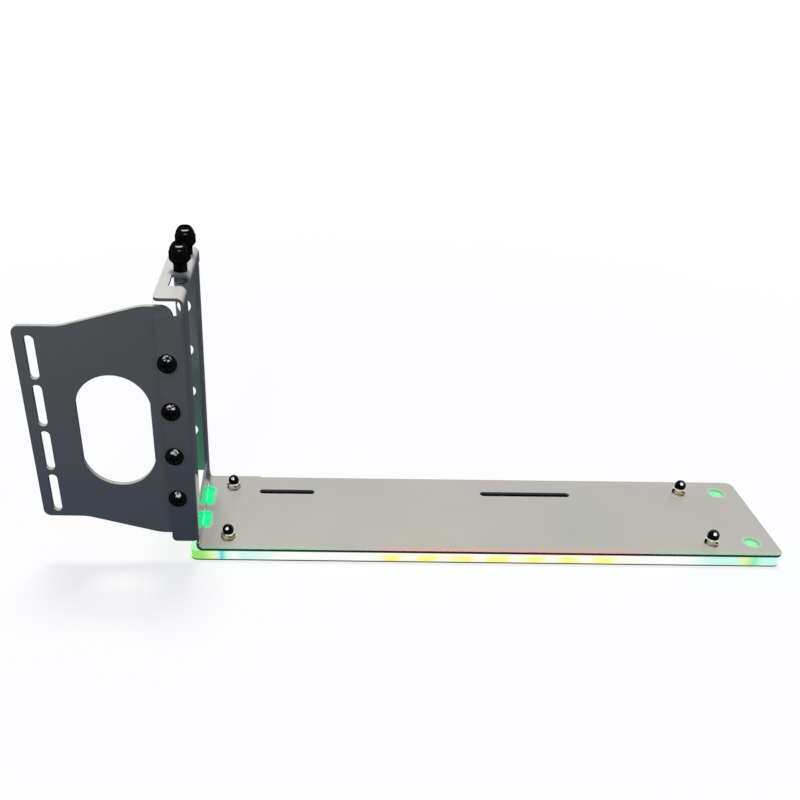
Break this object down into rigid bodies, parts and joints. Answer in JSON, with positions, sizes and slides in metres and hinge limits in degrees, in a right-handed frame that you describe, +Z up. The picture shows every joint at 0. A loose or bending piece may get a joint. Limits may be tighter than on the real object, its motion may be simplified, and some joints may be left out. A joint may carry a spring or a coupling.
{
  "type": "graphics card support bracket",
  "caption": "upright folded sheet bracket with a port window and a long base on a lit clear plate, a flared slotted plate and two thumbscrews",
  "frame": {"origin": "On the surface that the light plate rests on, under the card side of the wall, at the middle of the base's depth.", "axes": "+X along the base away from the wall, +Y towards the back edge, +Z up."},
  "size_m": [0.3194, 0.0616, 0.1299],
  "materials": {
    "sheet_paint": "semi-gloss light grey coat",
    "plate_paint": "semi-gloss light grey coat, seen in shade",
    "lit_acrylic": "clear polished acrylic, lit from inside",
    "board_green": "solder mask",
    "socket_white": "moulded",
    "led_white": "lit",
    "black_screw": "glossy black",
    "zinc_steel": "zinc plated",
    "chrome_nut": "polished"
  },
  "bodies": {
    "bracket": {"main_bracket": "sheet_paint", "flared_plate": "plate_paint", "light_plate": "lit_acrylic", "led_board": "board_green", "light_socket": "socket_white", "led_1": "led_white", "led_2": "led_white", "led_3": "led_white", "led_4": "led_white", "led_5": "led_white", "led_6": "led_white", "led_7": "led_white", "led_8": "led_white", "led_9": "led_white", "led_10": "led_white", "led_11": "led_white", "led_12": "led_white", "led_13": "led_white", "led_14": "led_white", "led_15": "led_white", "led_16": "led_white", "plate_screw_1": "black_screw", "plate_screw_2": "black_screw", "plate_screw_3": "black_screw", "plate_screw_4": "black_screw", "press_nut_1": "zinc_steel", "press_nut_2": "zinc_steel", "press_nut_3": "zinc_steel", "press_nut_4": "zinc_steel", "base_screw_1": "zinc_steel", "base_screw_2": "zinc_steel", "base_screw_3": "zinc_steel", "base_screw_4": "zinc_steel", "cap_nut_1": "chrome_nut", "cap_nut_2": "chrome_nut", "cap_nut_3": "chrome_nut", "cap_nut_4": "chrome_nut"},
    "thumbscrew_a": {"thumbscrew_1": "black_screw"},
    "thumbscrew_b": {"thumbscrew_2": "black_screw"}
  },
  "joints": [
    {"name": "thumbscrew_a_turn", "type": "hinge", "parent": "bracket", "child": "thumbscrew_a", "pos_m": [-0.00426, 0, 0.1189], "axis": [0, 0, 1], "continuous": true},
    {"name": "thumbscrew_b_turn", "type": "hinge", "parent": "bracket", "child": "thumbscrew_b", "pos_m": [-0.00426, 0.0203, 0.1189], "axis": [0, 0, 1], "continuous": true}
  ]
}
